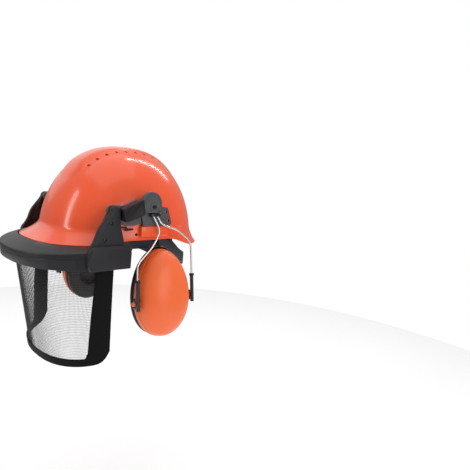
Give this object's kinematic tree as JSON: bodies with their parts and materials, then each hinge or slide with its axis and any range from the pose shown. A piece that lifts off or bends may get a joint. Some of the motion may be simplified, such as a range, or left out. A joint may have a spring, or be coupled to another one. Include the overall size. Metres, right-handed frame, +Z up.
{
  "type": "hard hat",
  "caption": "Orange forestry hard hat with a vented shell, a lifting mesh visor under a brow guard, wire-armed ear muffs and a ratchet head harness.",
  "frame": {"origin": "on the head's axis inside the headband, at the height of the middle of the head opening", "axes": "+Z up through the crown, -Y forwards through the visor, +X to the wearer's left"},
  "size_m": [0.3074, 0.3221, 0.333],
  "materials": {
    "shell_orange": "moulded, semi-gloss",
    "cup_orange": "moulded, satin",
    "guard_grey": "moulded, fine grain",
    "black_plastic": "moulded, satin",
    "visor_border": "soft moulded border",
    "mesh_screen": "woven black wire screen",
    "steel_wire": "polished spring wire",
    "harness_plastic": "moulded, satin",
    "webbing": "woven tape",
    "fleece": "perforated soft pad",
    "cushion_skin": "smooth thin vinyl over foam",
    "foam": "open-cell foam"
  },
  "bodies": {
    "helmet": {"shell": "shell_orange", "headband": "harness_plastic", "sweatband": "fleece", "harness_clip_front_left": "harness_plastic", "harness_clip_front_right": "harness_plastic", "harness_clip_rear_left": "harness_plastic", "harness_clip_rear_right": "harness_plastic", "cradle_strap_lower": "webbing", "cradle_strap_upper": "webbing", "ratchet_housing": "black_plastic", "left_slot_bracket": "guard_grey", "left_visor_mount": "guard_grey", "left_visor_mount_cover": "guard_grey", "left_visor_catch": "black_plastic", "left_visor_hinge_pin": "steel_wire", "left_arm_pin": "black_plastic", "right_slot_bracket": "guard_grey", "right_visor_mount": "guard_grey", "right_visor_mount_cover": "guard_grey", "right_visor_catch": "black_plastic", "right_visor_hinge_pin": "steel_wire", "right_arm_pin": "black_plastic"},
    "visor": {"brow_guard": "guard_grey", "visor_frame": "visor_border", "visor_mesh": "mesh_screen", "visor_rail": "black_plastic", "left_temple_plate": "guard_grey", "left_rivet_upper": "black_plastic", "left_rivet_lower": "black_plastic", "right_temple_plate": "guard_grey", "right_rivet_upper": "black_plastic", "right_rivet_lower": "black_plastic"},
    "knob": {"ratchet_knob": "black_plastic", "ratchet_pinion": "black_plastic"},
    "left_nape": {"nape_strap_left": "harness_plastic"},
    "right_nape": {"nape_strap_right": "harness_plastic"},
    "left_arm": {"left_arm_disc": "guard_grey"},
    "left_wires": {"left_yoke": "black_plastic", "left_front_wire": "steel_wire", "left_rear_wire": "steel_wire"},
    "left_sleeves": {"left_front_sleeve": "black_plastic", "left_rear_sleeve": "black_plastic"},
    "left_cup": {"left_cup_shell": "cup_orange", "left_cup_plate": "black_plastic", "left_ear_cushion": "cushion_skin", "left_foam_liner": "foam"},
    "right_arm": {"right_arm_disc": "guard_grey"},
    "right_wires": {"right_yoke": "black_plastic", "right_front_wire": "steel_wire", "right_rear_wire": "steel_wire"},
    "right_sleeves": {"right_front_sleeve": "black_plastic", "right_rear_sleeve": "black_plastic"},
    "right_cup": {"right_cup_shell": "cup_orange", "right_cup_plate": "black_plastic", "right_ear_cushion": "cushion_skin", "right_foam_liner": "foam"}
  },
  "joints": [
    {"name": "visor_lift", "type": "hinge", "parent": "helmet", "child": "visor", "pos_m": [0, -0.063, 0.05], "axis": [-1, 0, 0], "range_deg": [0, 100]},
    {"name": "left_arm_swing", "type": "hinge", "parent": "helmet", "child": "left_arm", "pos_m": [0.115, 0.002, 0.056], "axis": [1, 0, 0], "range_deg": [-7, 18]},
    {"name": "left_arm_flip", "type": "hinge", "parent": "left_arm", "child": "left_wires", "pos_m": [0.11485, 0.0065, 0.0436], "axis": [0, -1, 0], "range_deg": [-8, 14]},
    {"name": "left_cup_height", "type": "slide", "parent": "left_wires", "child": "left_sleeves", "axis": [0.1392, 0, -0.9903], "range_m": [-0.006, 0.014]},
    {"name": "left_cup_tilt", "type": "hinge", "parent": "left_sleeves", "child": "left_cup", "pos_m": [0.12623, 0.024, -0.08769], "axis": [0, -1, 0], "range_deg": [-10, 10]},
    {"name": "right_arm_swing", "type": "hinge", "parent": "helmet", "child": "right_arm", "pos_m": [-0.115, 0.002, 0.056], "axis": [1, 0, 0], "range_deg": [-7, 18]},
    {"name": "right_arm_flip", "type": "hinge", "parent": "right_arm", "child": "right_wires", "pos_m": [-0.11485, 0.0065, 0.0436], "axis": [0, 1, 0], "range_deg": [-8, 14]},
    {"name": "right_cup_height", "type": "slide", "parent": "right_wires", "child": "right_sleeves", "axis": [-0.1392, 0, -0.9903], "range_m": [-0.006, 0.014]},
    {"name": "right_cup_tilt", "type": "hinge", "parent": "right_sleeves", "child": "right_cup", "pos_m": [-0.12623, 0.024, -0.08769], "axis": [0, 1, 0], "range_deg": [-10, 10]},
    {"name": "knob_turn", "type": "hinge", "parent": "helmet", "child": "knob", "pos_m": [0, 0.127, -0.048], "axis": [0, 1, 0], "range_deg": [-45, 45]},
    {"name": "left_nape_slide", "type": "slide", "parent": "helmet", "child": "left_nape", "axis": [1, 0, 0], "range_m": [-0.004, 0.004]},
    {"name": "right_nape_slide", "type": "slide", "parent": "helmet", "child": "right_nape", "axis": [-1, 0, 0], "range_m": [-0.004, 0.004]}
  ],
  "couplings": [
    {"joint": "left_nape_slide", "follows": "knob_turn", "m_per_rad": 0.0048},
    {"joint": "right_nape_slide", "follows": "knob_turn", "m_per_rad": 0.0048}
  ]
}
